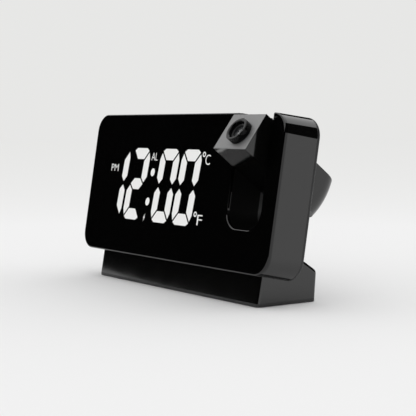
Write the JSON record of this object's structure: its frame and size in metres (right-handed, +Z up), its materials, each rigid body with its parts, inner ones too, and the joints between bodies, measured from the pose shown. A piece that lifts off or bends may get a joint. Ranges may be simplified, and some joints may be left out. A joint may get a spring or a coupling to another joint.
{
  "type": "projection alarm clock",
  "caption": "Mains alarm clock with a leaning glossy front, big lit digits, a low weighted base and a tilting projector arm set in a slot of the case.",
  "frame": {"origin": "centre of the anti-slip pad's underside, on the table", "axes": "+X to the right seen from the front, +Y to the rear, +Z up; the front faces -Y"},
  "size_m": [0.1918, 0.0649, 0.1013],
  "materials": {
    "smoked_panel": "mirror-like gloss",
    "gloss_black": "high gloss",
    "satin_black": "fine satin",
    "black_plastic": "matt",
    "lit_display": "lit white diffuser",
    "white_plastic": "matt",
    "circuit_board": "solder mask",
    "lamp": "clear resin",
    "steel": "zinc plated",
    "dark_steel": "black oxide",
    "aluminium_can": "satin",
    "washer_rubber": "matt",
    "pad_rubber": "matt",
    "lens_glass": "polished",
    "dark_film": "film"
  },
  "bodies": {
    "clock": {"front_panel": "smoked_panel", "digit_segments": "lit_display", "colon_dots": "lit_display", "light_mask": "white_plastic", "display_board": "circuit_board", "segment_leds": "lamp", "display_screws": "steel", "front_housing": "gloss_black", "rear_cover": "satin_black", "case_screws": "dark_steel", "main_board": "circuit_board", "board_screws": "steel", "board_header": "black_plastic", "controller_chip": "black_plastic", "capacitors": "aluminium_can", "tact_switches": "black_plastic", "snooze_switch": "black_plastic", "buzzer": "black_plastic", "cell_tray": "black_plastic", "coin_cell": "steel", "cell_contact": "steel", "power_socket": "steel", "socket_tongue": "black_plastic", "friction_washers": "washer_rubber", "base_fixing_screws": "steel", "base_shell": "gloss_black", "base_plate": "satin_black", "anti_slip_pad": "pad_rubber", "base_plate_screws": "dark_steel", "left_pivot_pin": "steel", "right_pivot_pin": "steel"},
    "arm": {"arm_shell": "gloss_black", "arm_cover": "gloss_black", "arm_screws": "dark_steel", "optics_holder": "black_plastic", "time_film": "dark_film", "condenser_lens": "lens_glass", "lamp_board": "circuit_board", "projector_lamp": "lamp"},
    "focus": {"focus_ring": "satin_black", "ring_clip": "black_plastic"},
    "lens": {"lens_cell": "black_plastic", "projection_lens": "lens_glass"},
    "snooze": {"snooze_key": "gloss_black"},
    "door": {"battery_door": "satin_black"},
    "set_button_body": {"set_button": "black_plastic"},
    "alarm_button_body": {"alarm_button": "black_plastic"},
    "up_button_body": {"up_button": "black_plastic"},
    "down_button_body": {"down_button": "black_plastic"},
    "display_button_body": {"display_button": "black_plastic"}
  },
  "joints": [
    {"name": "projector_tilt", "type": "hinge", "parent": "clock", "child": "arm", "pos_m": [0.0691, -0.00358, 0.07742], "axis": [1, 0, 0], "range_deg": [-152.2, 27.8]},
    {"name": "focus_turn", "type": "hinge", "parent": "arm", "child": "focus", "pos_m": [0.0721, -0.00449, 0.07623], "axis": [0, -0.7976, 0.6032], "range_deg": [-120, 120]},
    {"name": "lens_travel", "type": "slide", "parent": "arm", "child": "lens", "axis": [0, -0.7976, 0.6032], "range_m": [-0.0008, 0.0008]},
    {"name": "snooze_press", "type": "slide", "parent": "clock", "child": "snooze", "axis": [0, -0.1616, -0.9869], "range_m": [0, 0.0006], "stiffness_N_per_m": 400, "springref_m": -0.0006},
    {"name": "battery_door_lift", "type": "slide", "parent": "clock", "child": "door", "axis": [0, 0.9869, -0.1616], "range_m": [0, 0.015]},
    {"name": "set_button_press", "type": "slide", "parent": "clock", "child": "set_button_body", "axis": [0, -0.9869, 0.1616], "range_m": [0, 0.0006], "stiffness_N_per_m": 300, "springref_m": -0.0005},
    {"name": "alarm_button_press", "type": "slide", "parent": "clock", "child": "alarm_button_body", "axis": [0, -0.9869, 0.1616], "range_m": [0, 0.0006], "stiffness_N_per_m": 300, "springref_m": -0.0005},
    {"name": "up_button_press", "type": "slide", "parent": "clock", "child": "up_button_body", "axis": [0, -0.9869, 0.1616], "range_m": [0, 0.0006], "stiffness_N_per_m": 300, "springref_m": -0.0005},
    {"name": "down_button_press", "type": "slide", "parent": "clock", "child": "down_button_body", "axis": [0, -0.9869, 0.1616], "range_m": [0, 0.0006], "stiffness_N_per_m": 300, "springref_m": -0.0005},
    {"name": "display_button_press", "type": "slide", "parent": "clock", "child": "display_button_body", "axis": [0, -0.9869, 0.1616], "range_m": [0, 0.0006], "stiffness_N_per_m": 300, "springref_m": -0.0005}
  ],
  "couplings": [
    {"joint": "focus_turn", "follows": "lens_travel", "rad_per_m": 2600}
  ]
}
